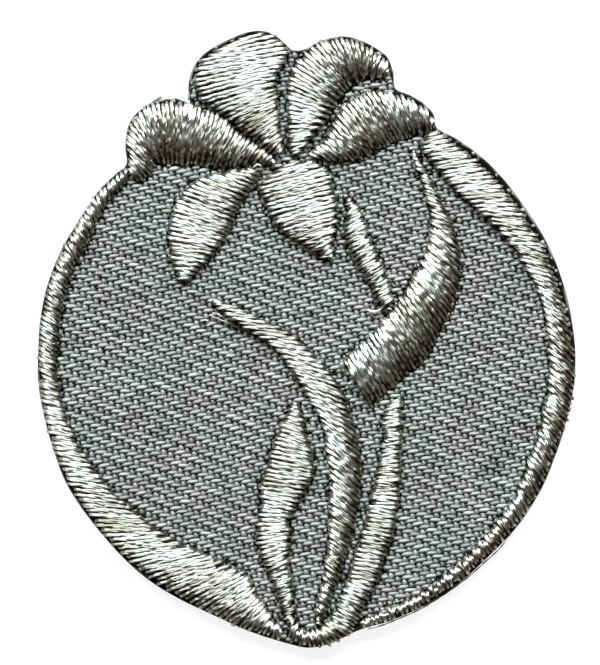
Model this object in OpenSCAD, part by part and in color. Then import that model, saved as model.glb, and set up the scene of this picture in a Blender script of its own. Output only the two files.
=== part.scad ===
// Embroidered applique patch: a flower with its leaves and stems, worked in
// satin stitch on a cut disc of twill, with a satin rim.
// The patch lies on its back. z = 0 is the surface that it rests on, +Z is the
// stitched face, +Y points to the flower, and x = y = 0 is the middle of the
// cut outline.

/* [Patch] */
// Size of one square of the drawing grid that the shape tables use
grid = 0.085; // [0.07:0.005:0.12]
// Thickness of the twill with its backing
ground_t = 1.0; // [0.8:0.1:2]

/* [Satin stitch] */
// Height of the narrowest satin above the twill
crown_min = 0.25; // [0.2:0.05:0.4]
// Height that the broadest satin comes near to
crown_max = 0.75; // [0.5:0.05:1.1]
// Width over which the padding under a satin column builds up
crown_w = 2.4; // [1:0.1:4]
// Height of the rounded side of a satin column where it meets the twill
side_h = 0.12; // [0.08:0.02:0.2]
// Gap kept around each satin piece, and under it
gap = 0.04; // [0.02:0.01:0.1]

/* [Hidden] */

// Steps worked out between two rows of a table, along a satin column
steps = 2;
// Steps along the cut edge between two of its rows
cut_steps = 3;
// Facets over the rounded back of a satin column
arch = 6;

twill_colour = [0.46, 0.49, 0.47];
satin_colour = [0.82, 0.84, 0.78];

// ---------------------------------------------------------------------------
// Tables. All are laid out on one drawing grid, x to the right and y down.
// In a satin table each row is one stitch across the column, and the rows run
// along it. Its columns are the two ends of the stitch:
AX = 0; // x of the first end
AY = 1; // y of the first end
BX = 2; // x of the second end
BY = 3; // y of the second end

// First end on the outer edge, from the foot of the left petal to the base
border_left_rows = [
    [126, 169, 127, 183], [115, 178, 117, 191], [102, 190, 105, 206],
    [ 88, 207,  96, 222], [ 75, 229,  85, 246], [ 62, 254,  73, 269],
    [ 50, 282,  65, 296], [ 43, 312,  59, 324], [ 40, 342,  57, 352],
    [ 40, 372,  58, 380], [ 43, 402,  64, 409], [ 49, 430,  74, 436],
    [ 60, 462,  94, 468], [ 74, 490, 117, 496], [ 97, 524, 155, 528],
    [124, 554, 185, 545], [158, 582, 222, 562], [194, 603, 246, 575],
    [230, 622, 260, 597], [262, 634, 272, 619], [280, 639, 280, 627]];

// First end on the inner edge, from the right petal to the base
border_right_rows = [
    [425, 136, 438, 131], [421, 147, 452, 142], [430, 159, 468, 154],
    [443, 177, 488, 171], [457, 191, 503, 189], [472, 204, 517, 206],
    [491, 222, 529, 226], [509, 241, 543, 246], [523, 260, 552, 270],
    [536, 285, 563, 302], [544, 309, 570, 331], [548, 334, 573, 358],
    [550, 361, 573, 382], [547, 396, 568, 416], [541, 425, 557, 444],
    [530, 460, 543, 481], [512, 500, 522, 517], [487, 535, 495, 548],
    [457, 565, 463, 576], [424, 592, 428, 601], [391, 608, 394, 617],
    [361, 621, 364, 628]];

// First end on the upper edge, from the foot at the rim to the middle
petal_left_rows = [
    [129, 167, 135, 182], [130, 158, 146, 177], [128, 142, 153, 166],
    [129, 128, 157, 162], [137, 114, 160, 162], [150, 105, 164, 162],
    [166, 102, 171, 162], [189, 104, 182, 162], [208, 110.5, 196, 163],
    [226, 121.5, 210, 164], [242, 134, 228, 167], [256, 144.5, 246, 163],
    [266, 151, 261, 164], [276, 160, 274, 164]];

// First end on the left edge, from the top down to the middle
petal_upper_left_rows = [
    [238,  39, 258,  33], [222,  48, 272,  35], [210,  55, 281,  41],
    [201,  64, 287,  50], [197,  76, 284,  60], [198,  88, 278,  71],
    [203,  99, 275,  80], [218, 109, 275,  88], [232, 119, 277,  99],
    [244, 130, 278, 111], [255, 139, 279, 123], [267, 147, 281, 136],
    [278, 156, 283, 149]];

// First end on the outer edge, from the middle up and over the shoulder
petal_upper_right_rows = [
    [291, 155, 301, 151], [289, 144, 309, 139], [289, 128, 318, 127],
    [288, 112, 325, 118], [288, 96, 331, 110], [289, 80, 335, 103],
    [296, 65, 340, 94], [308, 51, 346, 88], [325, 41, 353, 83],
    [343, 38, 359, 80], [359, 42, 364, 79], [374, 50, 370, 78],
    [385, 58, 377, 78], [389,  69, 386,  77]];

// First end on the upper edge, from the middle out to the rim
petal_right_rows = [
    [309, 153, 319, 159], [321, 142, 342, 160], [332, 127, 360, 158],
    [340, 111, 373, 152], [352,  99, 384, 146], [367,  92, 396, 140],
    [384,  92, 407, 136], [401,  96, 416, 134], [416, 103, 424, 132],
    [427, 111, 430, 130], [434, 120, 434, 127]];

// First end on the left edge, from the middle down to the tip
petal_lower_left_rows = [
    [248, 168, 261, 173], [226, 172, 255, 182], [203, 177, 246, 194],
    [187, 187, 238, 207], [178, 201, 231, 221], [172, 219, 225, 235],
    [169, 236, 217, 246], [171, 253, 206, 260], [174, 267, 196, 271],
    [180, 278, 189, 280]];

// First end on the left edge, from the middle down to the tip
petal_lower_centre_rows = [
    [279, 167, 297, 160], [269, 177, 317, 163], [259, 188, 328, 170],
    [264, 198, 332, 181], [269, 213, 335, 197], [280, 228, 336, 213],
    [296, 240, 335, 227], [312, 250, 333, 242], [326, 260, 333, 256]];

// First end on the left edge, from the tip down
leaf_short_rows = [
    [343, 195, 346, 193], [347, 210, 355, 205], [345, 225, 363, 217],
    [346, 240, 368, 231], [352, 256, 373, 245], [361, 270, 380, 258],
    [368, 284, 386, 273], [375, 299, 391, 289], [382, 308, 393, 301]];

// First end on the inner edge, from the tip round to the square end
leaf_hook_rows = [
    [409, 147, 415, 148], [415, 161, 421, 164], [421, 177, 432, 181],
    [426, 194, 441, 201], [430, 209, 450, 219], [431, 221, 456, 236],
    [431, 231, 460, 254], [429, 243, 461, 273], [425, 257, 458, 291],
    [418, 271, 450, 311], [408, 287, 439, 333], [394, 308, 425, 358],
    [378, 327, 406, 375], [360, 344, 387, 390], [343, 359, 370, 408]];

// First end on the lower left edge, from the tip down to the base
leaf_long_rows = [
    [212, 301, 218, 300], [216, 306, 240, 308], [227, 316, 256, 317],
    [241, 325, 281, 328], [257, 336, 298, 340], [273, 346, 315, 355],
    [287, 364, 331, 374], [298, 379, 345, 398], [309, 398, 353, 420],
    [320, 417, 359, 443], [326, 437, 361, 464], [328, 458, 360, 485],
    [330, 478, 358, 502], [331, 500, 355, 519], [330, 524, 351, 540],
    [328, 547, 344, 561], [325, 568, 337, 580], [321, 590, 331, 601],
    [317, 612, 322, 619]];

// First end on the left edge, from the tip down to the base
leaf_low_rows = [
    [293, 403, 298, 402], [288, 415, 303, 420], [279, 431, 309, 441],
    [272, 451, 314, 462], [265, 470, 311, 478], [262, 488, 301, 495],
    [260, 505, 292, 511], [258, 521, 289, 522], [257, 536, 289, 533],
    [261, 552, 288, 546], [266, 569, 288, 562], [273, 586, 290, 580],
    [280, 602, 292, 598], [284, 612, 293, 609]];

// First end on the left edge, from the top down to the base
stem_right_rows = [
    [388, 403, 403, 397], [384, 413, 401, 411], [384, 433, 401, 433],
    [380, 463, 400, 462], [373, 491, 398, 493], [366, 523, 394, 529],
    [357, 551, 384, 558], [348, 580, 374, 588], [340, 600, 361, 614],
    [332, 615, 355, 626]];

// First end on the inner edge, round the bottom from right to left
base_tack_rows = [
    [328, 621, 350, 633], [322, 627, 338, 641], [315, 631, 322, 646],
    [309, 632, 310, 646], [302, 630, 298, 645], [296, 624, 289, 636],
    [293, 616, 286, 622]];

// The cut edge of the twill, in three runs that follow each other round.
// Columns: x, y.
cut_left = [
    [126, 164], [115, 174], [102, 186], [ 90, 202], [ 75, 225], [ 59, 253],
    [ 47, 285], [ 40, 318], [ 37.5, 352], [ 38, 385], [ 44, 418], [ 53, 450],
    [ 66, 484], [ 86, 515], [114, 549], [145, 578], [180, 600], [218, 618],
    [254, 634], [284, 643]];
cut_right = [
    [304, 648], [322, 647], [342, 639], [361, 630], [386, 623], [411, 613],
    [436, 600], [462, 582], [488, 558], [511, 535], [530, 510], [546, 481],
    [558, 450], [568, 418], [574.5, 386], [576, 355], [573, 325], [566, 291],
    [555, 259], [541, 231], [524, 205], [506, 181], [485, 159], [464, 143],
    [449, 134], [437, 127]];
cut_petals = [
    [434, 114], [424, 103], [411, 95], [396, 88], [393, 71], [387, 56],
    [375, 47], [359, 39], [341, 36], [321, 40], [304, 49], [292, 49],
    [281, 39], [267, 31], [250, 31], [233, 37], [216, 45], [201, 56],
    [191, 71], [188, 88], [189, 103], [176, 99], [160, 99], [146, 105],
    [134, 115], [127, 128], [125, 146]];

// ---------------------------------------------------------------------------
// Smooth curves through the rows of a table

function spline(a, b, c, d, t) =
    0.5 * (2 * b + (c - a) * t + (2 * a - 5 * b + 4 * c - d) * t * t
           + (3 * b - a - 3 * c + d) * t * t * t);

function held(T, i) = T[max(0, min(len(T) - 1, i))];

function open_curve(T, n) = [
    for (i = [0 : len(T) - 2]) for (k = [0 : n - 1])
        spline(held(T, i - 1), T[i], T[i + 1], held(T, i + 2), k / n),
    T[len(T) - 1]];

function closed_curve(T, n) = let (m = len(T)) [
    for (i = [0 : m - 1]) for (k = [0 : n - 1])
        spline(T[(i + m - 1) % m], T[i], T[(i + 1) % m], T[(i + 2) % m],
               k / n)];

function column(T, c) = [for (r = T) r[c]];

cut_edge = closed_curve(concat(cut_left, cut_right, cut_petals), cut_steps);

// Middle of the cut outline on the drawing grid
mid_x = (min(column(cut_edge, 0)) + max(column(cut_edge, 0))) / 2;
mid_y = (min(column(cut_edge, 1)) + max(column(cut_edge, 1))) / 2;

function place(x, y) = [(x - mid_x) * grid, (mid_y - y) * grid];

// Height of a satin column above the twill, from the length of its stitch
function crown(w) = crown_min
    + (crown_max - crown_min) * (1 - exp(-w / crown_w));

// One cross-section: down one side, over the back, and down the other
function section(r) = let (
    a0 = place(r[AX], r[AY]),
    b0 = place(r[BX], r[BY]),
    w = norm(b0 - a0),
    a = a0 + (b0 - a0) * gap / w,
    b = b0 - (b0 - a0) * gap / w,
    z = ground_t + gap,
    h = crown(w) - side_h - gap)
    [[a[0], a[1], z],
     for (i = [0 : arch]) let (t = (1 - cos(180 * i / arch)) / 2)
         [a[0] + (b[0] - a[0]) * t, a[1] + (b[1] - a[1]) * t,
          z + side_h + h * sin(180 * i / arch)],
     [b[0], b[1], z]];

// Which way round the rows turn: 1 or -1
function hand(R) = let (s = [for (i = [0 : len(R) - 2])
        (R[i][BX] - R[i][AX]) * (R[i + 1][AY] - R[i][AY])
        - (R[i][BY] - R[i][AY]) * (R[i + 1][AX] - R[i][AX])])
    sign(s * [for (v = s) 1]);

function facing(f, way) = way > 0 ? f : [for (i = [len(f) - 1 : -1 : 0]) f[i]];

// One satin column, lofted through the rows of its table
module satin(T) {
    R = open_curve(T, steps);
    n = arch + 3;
    m = len(R);
    way = hand(R);
    polyhedron(
        points = [for (r = R) each section(r)],
        faces = [
            for (i = [0 : m - 2]) for (k = [0 : n - 1])
                let (l = (k + 1) % n)
                each [facing([i * n + k, i * n + l, (i + 1) * n + l], way),
                      facing([i * n + k, (i + 1) * n + l, (i + 1) * n + k],
                             way)],
            facing([for (k = [n - 1 : -1 : 0]) k], way),
            facing([for (k = [0 : n - 1]) (m - 1) * n + k], way)],
        convexity = 6);
}

// ---------------------------------------------------------------------------
// The pieces

module ground_twill() color(twill_colour)
    linear_extrude(ground_t)
        polygon([for (p = cut_edge) place(p[0], p[1])]);

module border_left() color(satin_colour) satin(border_left_rows);
module border_right() color(satin_colour) satin(border_right_rows);
module petal_left() color(satin_colour) satin(petal_left_rows);
module petal_upper_left() color(satin_colour) satin(petal_upper_left_rows);
module petal_upper_right() color(satin_colour) satin(petal_upper_right_rows);
module petal_right() color(satin_colour) satin(petal_right_rows);
module petal_lower_left() color(satin_colour) satin(petal_lower_left_rows);
module petal_lower_centre() color(satin_colour) satin(petal_lower_centre_rows);
module leaf_short() color(satin_colour) satin(leaf_short_rows);
module leaf_hook() color(satin_colour) satin(leaf_hook_rows);
module leaf_long() color(satin_colour) satin(leaf_long_rows);
module leaf_low() color(satin_colour) satin(leaf_low_rows);
module stem_right() color(satin_colour) satin(stem_right_rows);
module base_tack() color(satin_colour) satin(base_tack_rows);

ground_twill();
border_left();
border_right();
petal_left();
petal_upper_left();
petal_upper_right();
petal_right();
petal_lower_left();
petal_lower_centre();
leaf_short();
leaf_hook();
leaf_long();
leaf_low();
stem_right();
base_tack();
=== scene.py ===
import math

import bpy
import numpy as np
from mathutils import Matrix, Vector
from mathutils.geometry import delaunay_2d_cdt


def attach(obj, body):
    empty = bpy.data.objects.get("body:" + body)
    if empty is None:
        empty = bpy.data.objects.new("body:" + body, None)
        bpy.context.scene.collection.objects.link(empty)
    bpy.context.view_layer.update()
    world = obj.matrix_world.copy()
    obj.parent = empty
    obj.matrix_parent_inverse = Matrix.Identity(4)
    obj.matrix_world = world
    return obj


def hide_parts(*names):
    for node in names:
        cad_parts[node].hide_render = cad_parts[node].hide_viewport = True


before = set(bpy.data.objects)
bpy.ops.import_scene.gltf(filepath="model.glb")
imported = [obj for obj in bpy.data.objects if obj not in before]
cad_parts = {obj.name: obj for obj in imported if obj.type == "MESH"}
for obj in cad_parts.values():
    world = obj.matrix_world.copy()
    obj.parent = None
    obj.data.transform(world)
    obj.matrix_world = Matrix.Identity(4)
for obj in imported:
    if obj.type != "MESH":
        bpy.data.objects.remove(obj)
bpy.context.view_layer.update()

# ----------------------------------------------------------------------------
# Everything is worked out in millimetres and written to the meshes in metres.
MM = 0.001
GRID = 0.085  # one square of the drawing grid
GROUND = 1.0  # thickness of the twill with its backing
GAP = 0.04
SIDE = 0.12
CROWN_MIN, CROWN_MAX, CROWN_W = 0.25, 0.75, 2.4

# The satin columns, as in the construction: a row for each stitch that is
# drawn, with its two ends x, y, x, y on the drawing grid. At the base the
# columns run on for another row or two, so that their threads meet there.
ROWS = {
    "border_left": [
        [126, 169, 127, 183], [115, 178, 117, 191], [102, 190, 105, 206],
        [88, 207, 96, 222], [75, 229, 85, 246], [62, 254, 73, 269],
        [50, 282, 65, 296], [43, 312, 59, 324], [40, 342, 57, 352],
        [40, 372, 58, 380], [43, 402, 64, 409], [49, 430, 74, 436],
        [60, 462, 94, 468], [74, 490, 117, 496], [97, 524, 155, 528],
        [124, 554, 185, 545], [158, 582, 222, 562], [194, 603, 246, 575],
        [230, 622, 260, 597], [262, 634, 272, 619], [280, 639, 280, 627]],
    "border_right": [
        [425, 136, 438, 131], [421, 147, 452, 142], [430, 159, 468, 154],
        [443, 177, 488, 171], [457, 191, 503, 189], [472, 204, 517, 206],
        [491, 222, 529, 226], [509, 241, 543, 246], [523, 260, 552, 270],
        [536, 285, 563, 302], [544, 309, 570, 331], [548, 334, 573, 358],
        [550, 361, 573, 382], [547, 396, 568, 416], [541, 425, 557, 444],
        [530, 460, 543, 481], [512, 500, 522, 517], [487, 535, 495, 548],
        [457, 565, 463, 576], [424, 592, 428, 601], [391, 608, 394, 617],
        [361, 621, 364, 628]],
    "petal_left": [
        [129, 167, 135, 182], [130, 158, 146, 177], [128, 142, 153, 166],
        [129, 128, 157, 162], [137, 114, 160, 162], [150, 105, 164, 162],
        [166, 102, 171, 162], [189, 104, 182, 162], [208, 110.5, 196, 163],
        [226, 121.5, 210, 164], [242, 134, 228, 167], [256, 144.5, 246, 163],
        [266, 151, 261, 164], [276, 160, 274, 164]],
    "petal_upper_left": [
        [238, 39, 258, 33], [222, 48, 272, 35], [210, 55, 281, 41],
        [201, 64, 287, 50], [197, 76, 284, 60], [198, 88, 278, 71],
        [203, 99, 275, 80], [218, 109, 275, 88], [232, 119, 277, 99],
        [244, 130, 278, 111], [255, 139, 279, 123], [267, 147, 281, 136],
        [278, 156, 283, 149]],
    "petal_upper_right": [
        [291, 155, 301, 151], [289, 144, 309, 139], [289, 128, 318, 127],
        [288, 112, 325, 118], [288, 96, 331, 110], [289, 80, 335, 103],
        [296, 65, 340, 94], [308, 51, 346, 88], [325, 41, 353, 83],
        [343, 38, 359, 80], [359, 42, 364, 79], [374, 50, 370, 78],
        [385, 58, 377, 78], [389, 69, 386, 77]],
    "petal_right": [
        [309, 153, 319, 159], [321, 142, 342, 160], [332, 127, 360, 158],
        [340, 111, 373, 152], [352, 99, 384, 146], [367, 92, 396, 140],
        [384, 92, 407, 136], [401, 96, 416, 134], [416, 103, 424, 132],
        [427, 111, 430, 130], [434, 120, 434, 127]],
    "petal_lower_left": [
        [248, 168, 261, 173], [226, 172, 255, 182], [203, 177, 246, 194],
        [187, 187, 238, 207], [178, 201, 231, 221], [172, 219, 225, 235],
        [169, 236, 217, 246], [171, 253, 206, 260], [174, 267, 196, 271],
        [180, 278, 189, 280]],
    "petal_lower_centre": [
        [279, 167, 297, 160], [269, 177, 317, 163], [259, 188, 328, 170],
        [264, 198, 332, 181], [269, 213, 335, 197], [280, 228, 336, 213],
        [296, 240, 335, 227], [312, 250, 333, 242], [326, 260, 333, 256]],
    "leaf_short": [
        [343, 195, 346, 193], [347, 210, 355, 205], [345, 225, 363, 217],
        [346, 240, 368, 231], [352, 256, 373, 245], [361, 270, 380, 258],
        [368, 284, 386, 273], [375, 299, 391, 289], [382, 308, 393, 301]],
    "leaf_hook": [
        [409, 147, 415, 148], [415, 161, 421, 164], [421, 177, 432, 181],
        [426, 194, 441, 201], [430, 209, 450, 219], [431, 221, 456, 236],
        [431, 231, 460, 254], [429, 243, 461, 273], [425, 257, 458, 291],
        [418, 271, 450, 311], [408, 287, 439, 333], [394, 308, 425, 358],
        [378, 327, 406, 375], [360, 344, 387, 390], [343, 359, 370, 408]],
    "leaf_long": [
        [212, 301, 218, 300], [216, 306, 240, 308], [227, 316, 256, 317],
        [241, 325, 281, 328], [257, 336, 298, 340], [273, 346, 315, 355],
        [287, 364, 331, 374], [298, 379, 345, 398], [309, 398, 353, 420],
        [320, 417, 359, 443], [326, 437, 361, 464], [328, 458, 360, 485],
        [330, 478, 358, 502], [331, 500, 355, 519], [330, 524, 351, 540],
        [328, 547, 344, 561], [325, 568, 337, 580], [321, 590, 331, 601],
        [317, 612, 322, 619], [316, 618, 321, 624], [316, 623, 320, 627.5]],
    "leaf_low": [
        [293, 403, 298, 402], [288, 415, 303, 420], [279, 431, 309, 441],
        [272, 451, 314, 462], [265, 470, 311, 478], [262, 488, 301, 495],
        [260, 505, 292, 511], [258, 521, 289, 522], [257, 536, 289, 533],
        [261, 552, 288, 546], [266, 569, 288, 562], [273, 586, 290, 580],
        [280, 602, 292, 598], [284, 612, 293, 609], [285, 616, 293.3, 612.3]],
    "stem_right": [
        [388, 403, 403, 397], [384, 413, 401, 411], [384, 433, 401, 433],
        [380, 463, 400, 462], [373, 491, 398, 493], [366, 523, 394, 529],
        [357, 551, 384, 558], [348, 580, 374, 588], [340, 600, 361, 614],
        [332, 615, 355, 626], [330, 618, 353, 629]],
    "base_tack": [
        [330, 618.7, 352.5, 630], [328, 621, 350, 633], [322, 627, 338, 641], [315, 631, 322, 646],
        [309, 632, 310, 646], [302, 630, 298, 645], [296, 624, 289, 636],
        [293, 616, 286, 622], [293, 613.8, 285.3, 618.6]],
}
CUT = [
    [126, 164], [115, 174], [102, 186], [90, 202], [75, 225], [59, 253],
    [47, 285], [40, 318], [37.5, 352], [38, 385], [44, 418], [53, 450],
    [66, 484], [86, 515], [114, 549], [145, 578], [180, 600], [218, 618],
    [254, 634], [284, 643],
    [304, 648], [322, 647], [342, 639], [361, 630], [386, 623], [411, 613],
    [436, 600], [462, 582], [488, 558], [511, 535], [530, 510], [546, 481],
    [558, 450], [568, 418], [574.5, 386], [576, 355], [573, 325], [566, 291],
    [555, 259], [541, 231], [524, 205], [506, 181], [485, 159], [464, 143],
    [449, 134], [437, 127],
    [434, 114], [424, 103], [411, 95], [396, 88], [393, 71], [387, 56],
    [375, 47], [359, 39], [341, 36], [321, 40], [304, 49], [292, 49],
    [281, 39], [267, 31], [250, 31], [233, 37], [216, 45], [201, 56],
    [191, 71], [188, 88], [189, 103], [176, 99], [160, 99], [146, 105],
    [134, 115], [127, 128], [125, 146]]


def spline(p0, p1, p2, p3, t):
    t = np.asarray(t)[:, None]
    return 0.5 * (2 * p1 + (p2 - p0) * t + (2 * p0 - 5 * p1 + 4 * p2 - p3) * t**2
                  + (3 * p1 - p0 - 3 * p2 + p3) * t**3)


def open_curve(T, n):
    T = np.asarray(T, float)
    m, out, t = len(T), [], np.arange(n) / n
    for i in range(m - 1):
        out.append(spline(T[max(i - 1, 0)], T[i], T[i + 1], T[min(i + 2, m - 1)], t))
    return np.vstack(out + [T[-1:]])


def closed_curve(T, n):
    T = np.asarray(T, float)
    m, t = len(T), np.arange(n) / n
    return np.vstack([spline(T[i - 1], T[i], T[(i + 1) % m], T[(i + 2) % m], t)
                      for i in range(m)])


cut3 = closed_curve(CUT, 3)
MID = (cut3.min(0) + cut3.max(0)) / 2


def place(p):
    p = np.asarray(p, float)
    return np.stack([(p[..., 0] - MID[0]) * GRID, (MID[1] - p[..., 1]) * GRID], -1)


def crown(w):
    return CROWN_MIN + (CROWN_MAX - CROWN_MIN) * (1 - np.exp(-w / CROWN_W))


# ----------------------------------------------------------------------------
# Meshes

class Shape:
    """Collects points, faces and numbers for each point, for one mesh."""

    def __init__(self):
        self.v, self.q, self.t, self.n = [], [], [], 0
        self.a = {}

    def add(self, v, quads=None, tris=None, **numbers):
        v = np.asarray(v, float).reshape(-1, 3)
        if quads is not None and len(quads):
            self.q.append(np.asarray(quads) + self.n)
        if tris is not None and len(tris):
            self.t.append(np.asarray(tris) + self.n)
        for k, x in numbers.items():
            x = np.asarray(x, float)
            self.a.setdefault(k, []).append(np.broadcast_to(x, (len(v),) + x.shape[1:]))
        self.v.append(v)
        self.n += len(v)

    def make(self, name, material, smooth=True):
        v = np.vstack(self.v)
        q = np.vstack(self.q) if self.q else np.zeros((0, 4), int)
        t = np.vstack(self.t) if self.t else np.zeros((0, 3), int)
        me = bpy.data.meshes.new(name)
        me.vertices.add(len(v))
        me.vertices.foreach_set("co", (v * MM).astype(np.float32).ravel())
        loops = np.concatenate([q.ravel(), t.ravel()]).astype(np.int32)
        starts = np.concatenate([np.arange(len(q)) * 4, len(q) * 4 + np.arange(len(t)) * 3])
        me.loops.add(len(loops))
        me.loops.foreach_set("vertex_index", loops)
        me.polygons.add(len(starts))
        me.polygons.foreach_set("loop_start", starts.astype(np.int32))
        me.update(calc_edges=True)
        if smooth:
            me.polygons.foreach_set("use_smooth", np.ones(len(starts), bool))
        for k, x in self.a.items():
            x = np.concatenate(x).astype(np.float32)
            at = me.attributes.new(k, "FLOAT" if x.ndim == 1 else "FLOAT_VECTOR", "POINT")
            at.data.foreach_set("value" if x.ndim == 1 else "vector", x.ravel())
        me.validate()
        me.update()
        ob = bpy.data.objects.new(name, me)
        bpy.context.scene.collection.objects.link(ob)
        me.materials.append(material)
        return ob


def tube_faces(rings, sides):
    """Quads of a tube of rings, and the triangles of its two ends, whose
    centre points come after the rings."""
    i = np.arange(rings - 1)[:, None] * sides
    j = np.arange(sides)[None]
    k = (j + 1) % sides
    quads = np.stack([i + j, i + k, i + sides + k, i + sides + j], -1).reshape(-1, 4)
    j, k = j[0], k[0]
    last = (rings - 1) * sides
    if sides == 4:
        ends = np.array([[3, 2, 1, 0], [last, last + 1, last + 2, last + 3]])
        return np.vstack([quads, ends]), np.zeros((0, 3), int)
    c0, c1 = rings * sides, rings * sides + 1
    tris = np.vstack([np.stack([k, j, np.full(sides, c0)], -1),
                      np.stack([last + j, last + k, np.full(sides, c1)], -1)])
    return quads, tris


def tube(shape, path, radii, side=None, lay=None, **numbers):
    """A closed tube along path. radii is (rings, sides), or (rings, sides, 2)
    for a section given as across and up. side is the level direction across
    it, where it is known. lay is the angle of the fibres to the tube's length,
    for each point of each ring."""
    path = np.asarray(path, float)
    d = np.gradient(path, axis=0)
    d /= np.linalg.norm(d, axis=1)[:, None] + 1e-12
    if side is None:
        s = np.stack([-d[:, 1], d[:, 0], np.zeros(len(d))], -1)
        s /= np.linalg.norm(s, axis=1)[:, None] + 1e-12
    else:
        s = np.broadcast_to(np.asarray(side, float), d.shape)
    up = np.cross(d, s)
    flip = np.sign((up[:, 2].sum()) or 1.0)
    up = up * flip
    n = radii.shape[1]
    if radii.ndim == 2:
        phi = np.arange(n) * 2 * np.pi / n
        sec = np.stack([radii * np.cos(phi), radii * np.sin(phi)], -1)
    else:
        sec = radii
    v = path[:, None] + sec[..., :1] * s[:, None] + sec[..., 1:] * up[:, None]
    quads, tris = tube_faces(len(path), n)
    # outward faces: side x up must point along the path, or the order turns
    if np.dot(np.cross(s[0], up[0]), d[0]) > 0:
        quads, tris = quads, tris
    else:
        quads, tris = quads[:, ::-1], tris[:, ::-1]
    v = v.reshape(-1, 3)
    fibre = np.repeat(d, n, 0)
    if lay is not None:
        ring = np.roll(sec, -1, 1) - np.roll(sec, 1, 1)
        ring = ring[..., :1] * s[:, None] + ring[..., 1:] * up[:, None]
        ring /= np.linalg.norm(ring, axis=2)[..., None]
        fibre = np.cos(lay).reshape(-1, 1) * fibre + np.sin(lay).reshape(-1, 1) * ring.reshape(-1, 3)
    if n != 4:  # the middles of the two ends
        v = np.vstack([v, path[:1], path[-1:]])
        fibre = np.vstack([fibre, d[:1], d[-1:]])
    shape.add(v, quads, tris, fibre=fibre, **numbers)


# ----------------------------------------------------------------------------
# Materials

def material(name):
    m = bpy.data.materials.new(name)
    m.use_nodes = True
    t = m.node_tree
    t.nodes.clear()
    out = t.nodes.new("ShaderNodeOutputMaterial")
    bsdf = t.nodes.new("ShaderNodeBsdfPrincipled")
    t.links.new(bsdf.outputs[0], out.inputs[0])
    return m, t, bsdf


def node(t, kind, inputs=None, **props):
    n = t.nodes.new(kind)
    for k, v in props.items():
        setattr(n, k, v)
    for k, v in (inputs or {}).items():
        if isinstance(v, bpy.types.NodeSocket):
            t.links.new(v, n.inputs[k])
        else:
            n.inputs[k].default_value = v
    return n


def ramp(t, fac, stops):
    n = t.nodes.new("ShaderNodeValToRGB")
    t.links.new(fac, n.inputs[0])
    e = n.color_ramp.elements
    e[0].position, e[0].color = stops[0][0], (*stops[0][1], 1)
    e[1].position, e[1].color = stops[-1][0], (*stops[-1][1], 1)
    for p, c in stops[1:-1]:
        x = e.new(p)
        x.color = (*c, 1)
    return n.outputs[0]


def thread_material(name, dark, mid, light, rough, bump, metal=0.0, spec=0.5, tints=None,
                    glide=0.0, crease_shade=None):
    """Lustrous thread: a tone for each thread, fine streaks of fibre, and, where crease_shade is given, a near-black
    lowest stop that holds the painted shade at a thread's sides.
    """
    m, t, b = material(name)
    tone = node(t, "ShaderNodeAttribute", attribute_name="tone")
    obj = node(t, "ShaderNodeTexCoord")
    fine = node(t, "ShaderNodeTexNoise", {"Vector": obj.outputs["Object"], "Scale": 9000.0,
                                          "Detail": 3.0, "Roughness": 0.6})
    wide = node(t, "ShaderNodeTexNoise", {"Vector": obj.outputs["Object"], "Scale": 260.0,
                                          "Detail": 2.0})
    a = node(t, "ShaderNodeMath", {0: fine.outputs["Fac"], 1: 0.5, 2: -0.25}, operation="MULTIPLY_ADD")
    s = node(t, "ShaderNodeMath", {0: tone.outputs["Fac"], 1: a.outputs[0]}, operation="ADD")
    w = node(t, "ShaderNodeMath", {0: wide.outputs["Fac"], 1: 0.3, 2: -0.15}, operation="MULTIPLY_ADD")
    s2 = node(t, "ShaderNodeMath", {0: s.outputs[0], 1: w.outputs[0]}, operation="ADD")
    stops = [(0.0, dark), (0.5, mid), (1.0, light)]
    if crease_shade:
        stops = [(0.0, crease_shade), (0.25, dark), (0.55, mid), (1.0, light)]
    col = ramp(t, s2.outputs[0], stops)
    if tints:
        patch = node(t, "ShaderNodeTexNoise", {"Vector": obj.outputs["Object"], "Scale": 330.0,
                                               "Detail": 4.0, "Roughness": 0.65})
        tint = ramp(t, patch.outputs["Fac"], [(0.36, tints[0]), (0.5, (1, 1, 1)), (0.64, tints[1])])
        mix = node(t, "ShaderNodeMix", data_type="RGBA", blend_type="MULTIPLY")
        mix.inputs[0].default_value = 1.0
        t.links.new(col, mix.inputs[6])
        t.links.new(tint, mix.inputs[7])
        col = mix.outputs[2]
    t.links.new(col, b.inputs["Base Color"])
    b.inputs["Roughness"].default_value = rough
    b.inputs["Metallic"].default_value = metal
    b.distribution = "GGX"
    b.inputs["Specular IOR Level"].default_value = spec
    if glide:
        way = node(t, "ShaderNodeAttribute", attribute_name="fibre")
        t.links.new(way.outputs["Vector"], b.inputs["Tangent"])
        b.inputs["Anisotropic"].default_value = glide
        b.inputs["Anisotropic Rotation"].default_value = 0.25
    bm = node(t, "ShaderNodeBump", {"Height": fine.outputs["Fac"], "Strength": bump,
                                    "Distance": 0.00003})
    t.links.new(bm.outputs[0], b.inputs["Normal"])
    return m


# painted shade: the crease colour, the lowest stop, is the shade at a thread's sides and underside; the brown dark stop
# is reached partly by random tone and partly by painted shade on the south flanks
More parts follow.
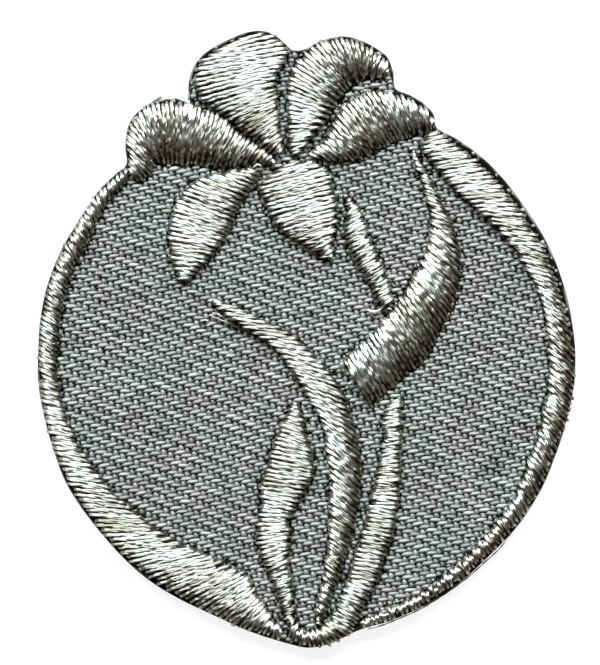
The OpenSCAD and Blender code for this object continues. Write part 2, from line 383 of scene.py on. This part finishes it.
SATIN = thread_material("satin_thread", (0.42, 0.36, 0.24), (0.735, 0.76, 0.705),
                        (0.93, 0.955, 0.92), 0.70, 0.06, metal=0.99, spec=0.7, glide=1.0,
                        crease_shade=(0.072, 0.052, 0.028), tints=((1.02, 0.985, 0.985), (0.96, 1.015, 0.99)))
# near-black padding: painted shade seen down between the satin threads
CORE_SHADE = thread_material("satin_padding_shade", (0.008, 0.007, 0.005), (0.022, 0.019, 0.014),
                       (0.05, 0.046, 0.038), 0.8, 0.3, spec=0.1)
TINTS = ((1.06, 0.96, 1.0), (0.89, 1.03, 0.985))
WEFT = thread_material("twill_weft", (0.088, 0.088, 0.076), (0.172, 0.178, 0.159),
                       (0.285, 0.292, 0.268), 0.60, 0.7, metal=0.0, spec=0.9, tints=TINTS)
WARP = thread_material("twill_warp", (0.066, 0.066, 0.057), (0.128, 0.131, 0.117),
                       (0.23, 0.234, 0.213), 0.60, 0.5, metal=0.0, spec=0.8, tints=TINTS)
# near-black cloth: painted shade between the yarns and in the needle holes, and partly the fused edge's own colour
CLOTH_AND_GAP_SHADE = thread_material("twill_cloth_gap_shade", (0.007, 0.0065, 0.005), (0.018, 0.018, 0.012),
                        (0.14, 0.14, 0.12), 0.75, 0.6, spec=0.05)

BACKING = thread_material("ground_backing", (0.30, 0.30, 0.28), (0.42, 0.42, 0.40),
                          (0.55, 0.55, 0.53), 0.6, 0.4, spec=0.3)

# ----------------------------------------------------------------------------
# Satin stitch

PITCH = 0.20  # from one pass of the satin thread to the next
WIDE, DEEP = 0.120, 0.112  # half its width and half its height
WAVE = 0.050  # how far it rides up and down over its neighbours
LOBE = 0.28  # how far its section is from round
LAY = 0.33  # how far its fibres turn to and fro, in radians
TWIST = 2.2  # length of one whole turn of its two plies
ROUND = 2.7  # power of the arch of a round column
EDGE = 0.15  # length over which a flat column falls off at its edge
NORTH = 0.4  # how much less a stitch across the wefts waves
CREASE_SHADE = 0.40  # painted shade: how much darker a thread is at its sides
STEP = 0.015  # how far threads lie above and below each other, in turn


def profile(t, ab):
    """Height of a satin thread's top above the twill, at a share t of its
    stitch ab. A stitch that lies along the wefts pulls its column flat, with
    steep sides, and one across them leaves it round."""
    w = math.hypot(*ab)
    t = np.clip(t, 0, 1)
    x = np.abs(2 * t - 1)
    edge = 1 - np.clip(np.minimum(t, 1 - t) * w / min(EDGE, 0.4 * w), 0, 1)
    flat = (1 - edge**3) * (1 - 0.15 * x**2)
    arch = 1 - x**ROUND
    k = min(1.0, abs(ab[1]) / w / 0.6)
    return SIDE + (crown(w) - SIDE - 0.02) * (k * arch + (1 - k) * flat)


def stitch(shape, a, b, rng, lift=0.0, tone=0.5, short=(0.0, 1.0), slim=1.0):
    """One satin thread of two plies from needle hole a to needle hole b."""
    ab = b - a
    w = np.linalg.norm(ab)
    u = ab / w
    side = np.array([-u[1], u[0], 0.0])
    t0, t1 = short
    run = w * (t1 - t0)
    n = max(7, int(round(run / 0.20)) + 1)
    t = np.linspace(t0, t1, n)
    reach = 0.10 / w
    t[1] = t0 + 0.8 * reach
    t[-2] = t1 - 0.8 * reach
    t = np.concatenate([[t0 - 0.2 * reach], t, [t1 + 0.2 * reach]])
    t[1], t[-2] = t0 + 0.2 * reach, t1 - 0.2 * reach
    dip = np.maximum(np.minimum(t - t0, t1 - t) * w, 0)  # mm from the nearer end
    z = GROUND + profile(t, ab) - 0.115
    z = z + lift * np.sin(np.pi * np.clip((t - t0) / (t1 - t0), 0, 1)) ** 0.5
    z = z - 0.24 * np.exp(-dip / 0.05)
    z[0] = z[-1] = GROUND - 0.45
    s = (t - t0) * w
    ph = rng.uniform(0, 2 * np.pi, 5)
    off = 0.020 * np.sin(s * 1.9 + ph[0]) + 0.014 * np.sin(s * 4.3 + ph[1])
    north = abs(u[1])  # 1 for a stitch across the wefts
    wave = WAVE * (1 - NORTH * north) * (np.sin(s * 3.4 * rng.normal(1, 0.2) + ph[3]) + 0.5 * np.sin(s * 6.6 + ph[4]))
    z = z + wave * np.clip(dip / 0.4, 0, 1)
    path = np.stack([a[0] + ab[0] * t + side[0] * off, a[1] + ab[1] * t + side[1] * off, z], -1)
    phi = np.arange(8) * 2 * np.pi / 8
    turn = 2 * np.pi * s / (TWIST * rng.normal(1, 0.10)) + ph[2]
    r = 1 + LOBE * np.cos(2 * (phi[None] - turn[:, None]))
    r *= (slim * (1 + 0.05 * np.sin(s * 2.7 + ph[1])))[:, None]
    r *= (0.85 + 0.15 * np.clip(dip / 0.2, 0, 1))[:, None]
    sec = np.stack([WIDE * r * np.cos(phi), DEEP * r * np.sin(phi)], -1)
    lay = LAY * np.sin(2 * (phi[None] - turn[:, None]) + 0.8) + rng.normal(0, 0.07)
    # painted shade: the sides and underside of a thread, down between its neighbours, are darker, and its top a little
    # lighter
    side_shade = -CREASE_SHADE * (1 - 0.1 * north)
    crease_shade = np.array([side_shade, -0.06, 0.08, -0.06, side_shade, -0.55, -0.55, -0.55])
    # painted shade: a stitch across the wefts is darker and less even towards its south end, on the flank of its column
    # that faces away from the key light
    south_shade = np.clip(-(2 * t - 1) * u[1] + 0.35 * north, 0, 1)[:, None]
    shade = tone + crease_shade * (1 + 1.2 * south_shade) + south_shade * rng.normal(-0.16, 0.30, (len(t), 1))
    shade = np.concatenate([shade.ravel(), [tone, tone]])
    tube(shape, path, sec, side=side, lay=lay, tone=shade)


TEETH = 0.085  # how unevenly the needle holes lie along the edge
HOLE_OUT = 0.11  # from a thread's end to the middle of its open needle hole
HOLES = []
REACH = {"petal_upper_left": (0.20, 0.03)}  # how far the two ends go past the rows


def satin(name, seed):
    rng = np.random.default_rng(seed)
    R = open_curve(ROWS[name], 40)
    A, B = place(R[:, :2]), place(R[:, 2:])
    dA, dB = np.diff(A, axis=0), np.diff(B, axis=0)
    D = (B - A)[:-1] + (B - A)[1:]
    D /= np.linalg.norm(D, axis=1)[:, None] + 1e-9
    perp = lambda d: np.abs(d[:, 0] * -D[:, 1] + d[:, 1] * D[:, 0])
    pa, pb = perp(dA), perp(dB)
    step = 0.1 * (pa + pb) / 2 + 0.9 * np.maximum(pa, pb)
    along = np.concatenate([[0], np.cumsum(step)])
    count = max(3, int(round(along[-1] / PITCH)))
    pitch = along[-1] / count
    at = (np.arange(count) + 0.5) * pitch
    at = at + rng.normal(0, 0.10, count) * pitch
    ca, cb = np.concatenate([[0], np.cumsum(pa)]), np.concatenate([[0], np.cumsum(pb)])
    shape = Shape()

    def on(E, x):
        x = np.clip(x, 0, along[-1])
        return np.array([np.interp(x, along, E[:, 0]), np.interp(x, along, E[:, 1])])

    drift = 0.0
    holes = []
    rest = REACH.get(name, (0.03, 0.03))
    out = list(rest)
    for i in range(count):
        zig = (1 if i % 2 else -1) * 0.43 * pitch
        a = on(A, at[i] + zig + rng.normal(0, 0.12) * pitch)
        b = on(B, at[i] - zig + rng.normal(0, 0.12) * pitch)
        w = np.linalg.norm(b - a)
        if w < 0.25:
            continue
        u = (b - a) / w
        # two threads in turn share each needle hole, by turns at a and at b
        tooth = 0.075 if i // 2 % 2 else -0.075
        k = 0 if i % 2 else 1
        out[k] = rest[k] + np.clip(rng.normal(0.0, TEETH) + tooth, -0.25, 0.23)
        a = a - u * (out[0] + rng.normal(0, 0.015))
        b = b + u * (out[1] + rng.normal(0, 0.015))
        # where the column fans out, threads in turn stop short on the
        # crowded side, as the stitches of a curved column do
        x0, x1 = np.clip([at[i] - pitch, at[i] + pitch], 0, along[-1])
        wa = (np.interp(x1, along, ca) - np.interp(x0, along, ca)) / 2
        wb = (np.interp(x1, along, cb) - np.interp(x0, along, cb)) / 2
        short = [0.0, 1.0]
        if w > 1.2:
            for k, (mine, other) in enumerate([(wa, wb), (wb, wa)]):
                if mine > other or mine > 0.14:
                    continue
                if i % 4 < 2:
                    back = rng.uniform(0.08, 0.22)
                elif i % 8 > 5 and mine < 0.09:
                    back = rng.uniform(0.25, 0.40)
                else:
                    continue
                short[k] = back if k == 0 else 1 - back
        holes.append(a - u * HOLE_OUT if i % 2 else b + u * HOLE_OUT)
        drift = 0.7 * drift + rng.normal(0, 0.05)
        tone = float(np.clip(0.52 + drift + rng.normal(0, 0.09), 0.36, 0.90))
        lift = rng.normal(0, 0.020) + (STEP if i % 2 else -STEP)
        stitch(shape, a, b, rng, lift=lift, tone=tone, short=short, slim=rng.normal(1.0, 0.05))
    HOLES.extend(holes)
    return shape, A, B


# Strands that came loose: points on the drawing grid, with the height over
# the twill in millimetres
LOOSE = {
    "leaf_long": [
        ([[209, 314.5, 0.02], [212, 316.2, 0.07], [220.5, 320, 0.10], [229, 323.3, 0.12],
          [236, 326.6, 0.08], [242, 329.5, 0.0]], 0.062, 0.30),
        ([[217, 313.5, 0.02], [220.5, 315.6, 0.10], [224.5, 318.3, 0.04]], 0.060, 0.75),
        ([[201, 325, 0.0], [201.4, 321.8, 0.06], [204.6, 320, 0.08], [207.8, 322, 0.08],
          [206, 325.6, 0.06], [210.8, 324.4, 0.0]], 0.050, 0.45),
        ([[214, 304.6, 0.12], [222, 305.6, 0.24], [230, 308.5, 0.20]], 0.080, 0.9)],
    "leaf_short": [
        ([[367, 308.8, 0.0], [369.5, 310.6, 0.14], [373.4, 311.5, 0.20], [378.2, 310.7, 0.22],
          [381.8, 308.2, 0.26], [383.6, 304.6, 0.30]], 0.085, 0.85),
        ([[386.6, 313.4, 0.05], [386.6, 310.4, 0.14], [388.8, 308.4, 0.20], [391.8, 310.2, 0.20],
          [393.6, 313.6, 0.10]], 0.060, 0.5),
        ([[370.6, 312.6, 0.02], [372.3, 316, 0.08], [376.4, 318.2, 0.02]], 0.055, 0.3)],
    "petal_lower_left": [
        ([[250, 171.5, 0.15], [253.5, 167.5, 0.30], [257.5, 164.6, 0.32], [261.5, 166.6, 0.28],
          [262.4, 170.5, 0.15]], 0.075, 0.8)],
    "leaf_hook": [
        ([[343, 362, 0.10], [340, 365.6, 0.16], [341.4, 370, 0.12], [346, 371.6, 0.05]], 0.065, 0.6),
        ([[352, 381, 0.12], [348.6, 385, 0.18], [350, 389.4, 0.10]], 0.065, 0.5)],
}


def loose(shape, name):
    for points, radius, tone in LOOSE.get(name, []):
        P = open_curve(points, 4)
        path = np.column_stack([place(P[:, :2]), GROUND - 0.02 + P[:, 2]])
        fat = radius * np.sqrt(np.clip(np.minimum(np.arange(len(P)) + 0.6, len(P) - 0.4 - np.arange(len(P))) / 3, 0, 1))
        tube(shape, path, np.tile(fat[:, None], (1, 6)), tone=tone)


CORE_BELOW = 0.14  # from the tops of the threads down to the padding


def padding(name, A, B):
    """The body under the threads, coloured near black as painted shade in the gaps between them."""
    shape = Shape()
    n = 15
    A, B = A[::5], B[::5]
    rings = []
    for a, b in zip(A, B):
        w = np.linalg.norm(b - a)
        inset = min(0.10, 0.2 * w)
        u = (b - a) / w
        a2, b2 = a + u * inset, b - u * inset
        t = (1 - np.cos(np.pi * np.arange(n) / (n - 1))) / 2
        tt = inset / w + t * (1 - 2 * inset / w)
        top = GROUND + profile(tt, b - a) - CORE_BELOW
        top = top - 0.12 * np.exp(-np.minimum(tt, 1 - tt) * w / 0.15)
        top = np.maximum(top, GROUND - 0.30)
        top[0] = top[-1] = GROUND - 0.35
        ring = np.vstack([
            np.column_stack([a2[0] + (b2[0] - a2[0]) * t, a2[1] + (b2[1] - a2[1]) * t, top]),
            [[b2[0], b2[1], GROUND - 0.42], [a2[0], a2[1], GROUND - 0.42]]])
        rings.append(ring)
    rings = np.array(rings)
    m, k = rings.shape[:2]
    i = np.arange(m - 1)[:, None] * k
    j = np.arange(k)[None]
    l = (j + 1) % k
    quads = np.stack([i + j, i + l, i + k + l, i + k + j], -1).reshape(-1, 4)
    c = rings.mean(1)
    j, l = j[0], l[0]
    tris = np.vstack([np.stack([l, j, np.full(k, m * k)], -1),
                      np.stack([(m - 1) * k + j, (m - 1) * k + l, np.full(k, m * k + 1)], -1)])
    # turn the faces outwards
    mid = (A + B) / 2
    turn = np.sum((B - A)[:-1, 0] * np.diff(mid, axis=0)[:, 1] - (B - A)[:-1, 1] * np.diff(mid, axis=0)[:, 0])
    if turn > 0:
        quads, tris = quads[:, ::-1], tris[:, ::-1]
    way = rings[:, n - 1] - rings[:, 0]
    way /= np.linalg.norm(way, axis=1)[:, None]
    shape.add(np.vstack([rings.reshape(-1, 3), c[:1], c[-1:]]), quads, tris, tone=0.5,
              fibre=np.vstack([np.repeat(way, k, 0), way[:1], way[-1:]]))
    return shape


# ----------------------------------------------------------------------------
# A map of where the twill shows, on cells of 0.05 mm

CELL = 0.05
NX, NY = 960, 1100
X0, Y0 = -NX * CELL / 2, -NY * CELL / 2


def filled(poly):
    out = np.zeros((NY, NX), bool)
    p, q = poly, np.roll(poly, -1, 0)
    ys = Y0 + (np.arange(NY) + 0.5) * CELL
    xs = X0 + (np.arange(NX) + 0.5) * CELL
    for r, y in enumerate(ys):
        c = (p[:, 1] > y) != (q[:, 1] > y)
        if not c.any():
            continue
        x = p[c, 0] + (y - p[c, 1]) / (q[c, 1] - p[c, 1]) * (q[c, 0] - p[c, 0])
        out[r] = (np.searchsorted(np.sort(x), xs) % 2) == 1
    return out


def shrunk(mask, mm):
    out = mask.copy()
    n = int(round(mm / CELL))
    for k in range(n):
        m = out.copy()
        m[1:] &= out[:-1]
        m[:-1] &= out[1:]
        m[:, 1:] &= out[:, :-1]
        m[:, :-1] &= out[:, 1:]
        if k % 2:
            m[1:, 1:] &= out[:-1, :-1]
            m[:-1, :-1] &= out[1:, 1:]
            m[1:, :-1] &= out[:-1, 1:]
            m[:-1, 1:] &= out[1:, :-1]
        out = m
    return out


def sample(mask, x, y):
    i = np.clip(((x - X0) / CELL).astype(int), 0, NX - 1)
    j = np.clip(((y - Y0) / CELL).astype(int), 0, NY - 1)
    return mask[j, i]


outline = place(closed_curve(CUT, 6))
inside = filled(outline)
under = np.zeros_like(inside)

pieces = {}
for k, name in enumerate(ROWS):
    shape, A, B = satin(name, 100 + k)
    loose(shape, name)
    under |= shrunk(filled(np.vstack([A, B[::-1]])), 0.30)
    threads = shape.make(name + "_threads", SATIN)
    shade_core = padding(name, A, B).make(name + "_padding", CORE_SHADE)
    pieces[name] = (threads, shade_core)

HOLE_R = 0.13
pits = np.zeros_like(inside)
rng = np.random.default_rng(11)
for h in HOLES:
    r = max(0.08, rng.normal(HOLE_R, 0.035))
    i0, j0 = int((h[0] - X0) / CELL), int((h[1] - Y0) / CELL)
    k = np.arange(-5, 6)
    disc = (k[:, None] ** 2 + k[None] ** 2) * CELL**2 < r * r
    pits[j0 - 5:j0 + 6, i0 - 5:i0 + 6] |= disc
open_ground = shrunk(inside, 0.15) & ~under
wide_ground = ~shrunk(~shrunk(open_ground, 0.40), 0.45)
strips = open_ground & ~wide_ground
# the yarns are cut away at the open needle holes, where the near-black cloth below shows as painted shade
shows = open_ground & ~pits

# ----------------------------------------------------------------------------
# Twill: wefts rise to the right at 13 degrees, each over two warps and under one

TILT = math.radians(13.0)
WEFT_PITCH, WARP_PITCH = 0.376, 0.4956
U = np.array([math.cos(TILT), math.sin(TILT)])
V = np.array([-math.sin(TILT), math.cos(TILT)])
MIDZ = GROUND - 0.23
RISE = -0.13  # how much more than its row each weft float rises
DEEP_TONE = 0.8  # tone of the warps below the wefts
FLOAT_H = 0.10  # half the height of a weft
WEFT_W, WARP_W = 0.194, 0.235  # half their widths where nothing holds them in


def bent(x, y):
    """The cloth is a little uneven: how far a yarn lies from its true place."""
    dx = 0.10 * np.sin(y * 0.21 + 0.6) + 0.05 * np.sin(x * 0.33 + y * 0.12)
    dy = 0.22 * np.sin(y * 0.11 + 0.3) + 0.08 * np.sin(x * 0.19 + 1.1) + 0.04 * np.sin(x * 0.55 + y * 0.3)
    return dx, dy


def yarn(shape, u, v, z, across, up, side, section, tone, chance=0.0):
    """The stretch of one yarn that comes to the top, as a closed tube, or the
    parts of it that no stitch covers. Its section is flat below. In a strip
    between two columns of stitches most yarns are pulled down out of sight,
    and those left are lower, slimmer and given the darkest tone as painted shade."""
    x, y = u * U[0] + v * V[0], u * U[1] + v * V[1]
    dx, dy = bent(x, y)
    mid = len(u) // 2
    if len(u) < 10 and sample(strips, (x + dx)[mid], (y + dy)[mid]):
        if chance < 1.1:
            return
        # painted shade: a yarn left in a strip between columns takes the darkest tone
        z, across, up, tone = z - 0.16, across * 0.42, up * 0.5, 0.0
    all5 = np.stack([x + dx, y + dy, z, across, up])
    at = np.arange(len(u))
    fine = np.linspace(0, len(u) - 1, 6 * (len(u) - 1) + 1)
    keep = sample(shows, np.interp(fine, at, all5[0]), np.interp(fine, at, all5[1]))
    if not keep.any():
        return
    edge = np.flatnonzero(np.diff(np.concatenate([[0], keep.astype(int), [0]])))
    for s, e in zip(edge[::2], edge[1::2]):
        t0, t1 = fine[s], fine[e - 1]
        if t1 - t0 < 0.4:
            continue
        t = np.concatenate([[t0], at[(at > t0 + 0.2) & (at < t1 - 0.2)], [t1]])
        x1, y1, z1, r1, h1 = [np.interp(t, at, a) for a in all5]
        r = np.stack([r1[:, None] * section[:, 0], h1[:, None] * section[:, 1]], -1)
        tube(shape, np.stack([x1, y1, z1], -1), r, side=side, tone=tone)


def twill():
    rng = np.random.default_rng(7)
    reach = 36.0
    weft, warp = Shape(), Shape()
    ni, nj = int(reach / WEFT_PITCH), int(reach / WARP_PITCH)
    per_i, per_j = rng.normal(0, 1, 2 * ni + 1), rng.normal(0, 1, 2 * nj + 1)
    ang = np.radians([0, 90, 180])
    four = np.vstack([np.stack([np.cos(ang), np.sin(ang)], -1), [[0, -0.6]]])
    f = np.array([-1.08, -0.80, -0.30, 0.30, 0.80, 1.08])  # in warps
    g = np.array([-0.78, -0.40, 0.0, 0.40, 0.78])  # in wefts
    for i in range(-ni, ni + 1):
        # where this weft is under a warp is at u = 3 k - i, so its floats
        # have their middles a warp and a half on
        for k in range(-nj // 3 - 30, nj // 3 + 31):
            c = 3 * k - i + 1.5
            if abs(c) > nj:
                continue
            r = rng.normal(0, 1, 6)
            long = 0.96 + 0.09 * r[0]
            s = f * long
            u = (c + s + 0.06 * r[1]) * WARP_PITCH
            v = i * WEFT_PITCH + 0.012 * per_i[i + ni] + 0.014 * r[2] \
                + (RISE + 0.06 * r[3]) * s * WARP_PITCH * np.exp(-(s / 1.4) ** 4)
            z = MIDZ + 0.115 + 0.016 * r[4] - 0.225 * np.abs(s / 0.97) ** 2.8
            across = (WEFT_W + 0.012 * r[5]) * (0.48 + 0.52 * np.sqrt(np.clip(1 - (s / 1.14) ** 2, 0, 1)))
            tone = np.clip(0.56 + 0.05 * per_i[i + ni] + 0.15 * r[0] + 0.10 * r[4], 0, 1)
            yarn(weft, u, v, z, across, np.full(len(f), FLOAT_H), (V[0], V[1], 0), four, tone, r[1])
        for k in range(-nj // 3 - 30, nj // 3 + 31):
            j = 3 * k - i
            if abs(j) > nj:
                continue
            r = rng.normal(0, 1, 5)
            v = (i + g * (1 + 0.05 * r[0]) + 0.05 * r[1]) * WEFT_PITCH
            u = j * WARP_PITCH + 0.012 * per_j[j + nj] + 0.015 * r[2] + 0.10 * g * WEFT_PITCH
            z = MIDZ - 0.15 + (0.180 + 0.022 * r[3]) * np.exp(-(g / 0.52) ** 4)
            across = (WARP_W + 0.012 * r[4]) * np.array([0.70, 0.95, 1, 0.95, 0.70])
            tone = np.clip(0.75 + 0.06 * per_j[j + nj] + 0.20 * r[0], 0, 1)
            yarn(warp, u, v, z, across, np.full(5, 0.115), (U[0], U[1], 0), four, tone, r[1])
    # the warps where they run below the wefts
    v = np.arange(-reach, reach, 3.0)
    for j in range(-nj, nj + 1):
        u = np.full(len(v), j * WARP_PITCH + 0.012 * per_j[j + nj])
        yarn(warp, u, v, np.full(len(v), MIDZ - 0.17), np.full(len(v), 0.20), np.full(len(v), 0.09),
             (U[0], U[1], 0), four, DEEP_TONE)
    return weft, warp


# Frayed bits of yarn at the cut, as the loose strands are given
FRAYS = [
    ([[144.5, 106.5, 0], [148, 105.4, 0], [151.5, 104.4, 0]], 0.12, 0.2),
    ([[152, 102.8, 0], [155, 100, 0], [158.6, 98, 0], [161.5, 96.6, 0]], 0.14, 0.6),
    ([[156, 103.2, 0], [159.5, 101.8, 0]], 0.11, 0.3),
    ([[164, 101.3, 0], [166, 99.9, 0]], 0.13, 0.7),
    ([[167.8, 96.9, 0], [169, 96.2, 0]], 0.09, 0.8),
    ([[172, 99.6, 0], [175, 98.2, 0], [179.5, 99.6, 0], [185.5, 102, 0]], 0.09, 0.6),
    ([[188.4, 100, 0], [189.6, 92, 0], [190.6, 84, 0], [191.6, 76, 0]], 0.12, 1.3),
    ([[196, 66.6, 0], [200.5, 61.6, 0]], 0.07, 0.6),
    ([[222, 43.6, 0], [226, 41.4, 0]], 0.07, 0.5),
]
LIP = [[512, 534, 0], [500, 549, 0], [486, 562, 0], [470, 576.4, 0], [452, 590, 0], [436, 600.6, 0],
       [420, 610, 0], [400, 619, 0], [382, 626, 0], [366, 631, 0]]


def edge_bits(shape):
    for points, radius, tone in FRAYS:
        P = open_curve(points, 4)
        n = np.arange(len(P))
        fat = radius * np.sqrt(np.clip(np.minimum(n + 0.5, len(P) - 0.5 - n) / 2.5, 0, 1))
        path = np.column_stack([place(P[:, :2]), np.full(len(P), GROUND - 0.30)])
        tube(shape, path, np.tile(fat[:, None], (1, 6)), tone=tone)
    P = open_curve(LIP, 8)
    n = np.arange(len(P))
    fat = 0.05 * np.clip(np.minimum(n + 0.3, len(P) - 0.7 - n) / 8, 0.05, 1) * (1 + 0.3 * np.sin(n * 1.3))
    path = np.column_stack([place(P[:, :2]), np.full(len(P), 0.12)])
    tube(shape, path, np.tile(fat[:, None], (1, 6)), tone=1.0)


weft, warp = twill()
edge_bits(warp)
weft = weft.make("twill_wefts", WEFT)
warp = warp.make("twill_warps", WARP)

# ----------------------------------------------------------------------------
# The cloth that the yarns lie in, with its hot-cut, fused edge. Its near-black colour is painted shade where it shows
# between the yarns and in the open needle holes, and at the fused edge partly the edge's own dark colour and partly
# painted shade.


def outward(P):
    d = np.roll(P, -1, 0) - np.roll(P, 1, 0)
    n = np.stack([d[:, 1], -d[:, 0]], -1)
    n /= np.linalg.norm(n, axis=1)[:, None]
    area = np.sum(P[:, 0] * np.roll(P[:, 1], -1) - np.roll(P[:, 0], -1) * P[:, 1])
    return n * np.sign(area)


def cloth():
    """A slab within the cut, closed above and below by flat triangles."""
    rng = np.random.default_rng(3)
    P = outline
    N = outward(P)
    m = len(P)
    wob = np.convolve(np.tile(rng.normal(0, 1, m), 3), np.ones(5) / 5, "same")[m:2 * m]
    # the inner levels, under the yarns, take the lowest tone as painted shade
    levels = [  # height, distance in from the cut, roughness of the line, tone
        (0.10, 0.10, 0.0, 0.5), (0.16, 0.02, 0.01, 0.5), (0.45, 0.01, 0.02, 0.5),
        (0.72, 0.03, 0.02, 0.5), (0.83, 0.09, 0.02, 0.55), (0.84, 0.17, 0.02, 0.5),
        (0.78, 0.26, 0.0, 0.1), (0.70, 0.34, 0.0, 0.0)]
    rings = [P - N * (d + abs(r) * wob[:, None] * 1.2) for z, d, r, c in levels]
    blot = np.convolve(np.tile(rng.normal(0, 1, m), 3), np.ones(2) / 2, "same")[m:2 * m]
    k = len(rings)
    i = np.arange(k - 1)[:, None] * m
    j = np.arange(m)[None]
    l = (j + 1) % m
    quads = np.stack([i + j, i + l, i + m + l, i + m + j], -1).reshape(-1, 4)
    ccw = np.sum(P[:, 0] * np.roll(P[:, 1], -1) - np.roll(P[:, 0], -1) * P[:, 1]) > 0
    if not ccw:
        quads = quads[:, ::-1]
    shape = Shape()
    shape.add(np.vstack([np.column_stack([q, np.full(m, z)]) for q, (z, d, r, c) in zip(rings, levels)]),
              quads, tone=np.concatenate([c + (0.42 * blot if c > 0.4 else 0 * blot)
                                          for z, d, r, c in levels]))
    for ring, upward in ((0, False), (k - 1, True)):
        q = rings[ring]
        edges = [(x, (x + 1) % m) for x in range(m)]
        out = delaunay_2d_cdt([Vector(p) for p in q], edges, [], 1, 1e-6)
        if len(out[0]) != m:
            raise ValueError("the outline of the cloth crosses itself")
        order = [o[0] for o in out[3]]
        tri = np.array([[order[x] for x in f] for f in out[2]])
        a, b, c = q[tri[:, 0]], q[tri[:, 1]], q[tri[:, 2]]
        turn = (b[:, 0] - a[:, 0]) * (c[:, 1] - a[:, 1]) - (b[:, 1] - a[:, 1]) * (c[:, 0] - a[:, 0])
        wrong = (turn > 0) != upward
        tri[wrong] = tri[wrong][:, ::-1]
        shape.t.append(tri + ring * m)
    return shape.make("ground_cloth", CLOTH_AND_GAP_SHADE)


ground = cloth()


def backing():
    """A thin plain film under the cloth, closed by flat triangles."""
    P, N = outline[::3], outward(outline)[::3]
    m = len(P)
    rings = [P - N * 0.20, P - N * 0.14]
    i = np.arange(m)
    l = (i + 1) % m
    quads = np.stack([i, l, m + l, m + i], -1)
    area = np.sum(P[:, 0] * np.roll(P[:, 1], -1) - np.roll(P[:, 0], -1) * P[:, 1])
    if area < 0:
        quads = quads[:, ::-1]
    shape = Shape()
    shape.add(np.vstack([np.column_stack([q, np.full(m, z)]) for q, z in zip(rings, (0.0, 0.11))]),
              quads, tone=0.5)
    out = delaunay_2d_cdt([Vector(p) for p in rings[0]], [(x, (x + 1) % m) for x in range(m)], [], 1, 1e-6)
    if len(out[0]) != m:
        raise ValueError("the outline of the backing crosses itself")
    order = [o[0] for o in out[3]]
    tri = np.array([[order[x] for x in f] for f in out[2]])
    a, b, c = [rings[0][tri[:, x]] for x in range(3)]
    turn = (b[:, 0] - a[:, 0]) * (c[:, 1] - a[:, 1]) - (b[:, 1] - a[:, 1]) * (c[:, 0] - a[:, 0])
    tri[turn > 0] = tri[turn > 0][:, ::-1]
    shape.t += [tri, tri[:, ::-1] + m]
    return shape.make("ground_backing", BACKING, smooth=False)


back = backing()

# ----------------------------------------------------------------------------
# What each piece rides on and replaces

for name, (threads, shade_core) in pieces.items():
    for p in (threads, shade_core):
        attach(p, "root")
    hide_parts(name)
for p in (ground, weft, warp, back):
    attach(p, "root")
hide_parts("ground_twill")

# ----------------------------------------------------------------------------
# Floor, light, camera

m, t, b = material("floor")
b.inputs["Base Color"].default_value = (0.14, 0.14, 0.14, 1)
b.inputs["Roughness"].default_value = 0.9
b.inputs["Emission Color"].default_value = (1, 1, 1, 1)
b.inputs["Emission Strength"].default_value = 0.88
# its plane is a hair above the back face, so that the two never fight for the same place
me = bpy.data.meshes.new("floor")
me.from_pydata([(-1.5, -1.5, 0.00003), (1.5, -1.5, 0.00003), (1.5, 1.5, 0.00003), (-1.5, 1.5, 0.00003)], [], [(0, 1, 2, 3)])
floor = bpy.data.objects.new("floor", me)
bpy.context.scene.collection.objects.link(floor)
me.materials.append(m)

scene = bpy.context.scene
world = bpy.data.worlds.new("studio")
scene.world = world
world.use_nodes = True
world.node_tree.nodes["Background"].inputs[0].default_value = (1.0, 0.78, 0.50, 1)
world.node_tree.nodes["Background"].inputs[1].default_value = 0.13


def area_light(name, azimuth, elevation, distance, size, power, colour):
    """azimuth is measured from +Y towards -X, in degrees. size is its width
    along the level and its height."""
    d = bpy.data.lights.new(name, "AREA")
    d.shape = "RECTANGLE"
    d.size, d.size_y = size
    d.energy = power
    d.color = colour
    o = bpy.data.objects.new(name, d)
    a, e = math.radians(azimuth), math.radians(elevation)
    way = Vector((-math.sin(a) * math.cos(e), math.cos(a) * math.cos(e), math.sin(e)))
    o.location = way * distance
    o.rotation_euler = way.to_track_quat("Z", "Y").to_euler()
    scene.collection.objects.link(o)
    return o


area_light("key", 4, 37, 0.9, (1.6, 0.16), 41.0, (0.86, 0.95, 1.0))

cam_data = bpy.data.cameras.new("camera")
cam_data.sensor_fit = "HORIZONTAL"
cam_data.sensor_width = 36.0
cam_data.lens = 400.0
cam_data.clip_start = 0.01
cam_data.clip_end = 10.0
cam = bpy.data.objects.new("camera", cam_data)
scene.collection.objects.link(cam)
wide = 600 * GRID
high = wide * cam_data.lens / 36.0 + GROUND + 0.4
cam.location = ((300 - MID[0]) * GRID * MM, (MID[1] - 332.5) * GRID * MM, high * MM)
cam.rotation_euler = (0, 0, 0)
scene.camera = cam

scene.view_settings.view_transform = "Standard"
scene.view_settings.look = "None"
scene.view_settings.exposure = 0.0
scene.view_settings.gamma = 1.0
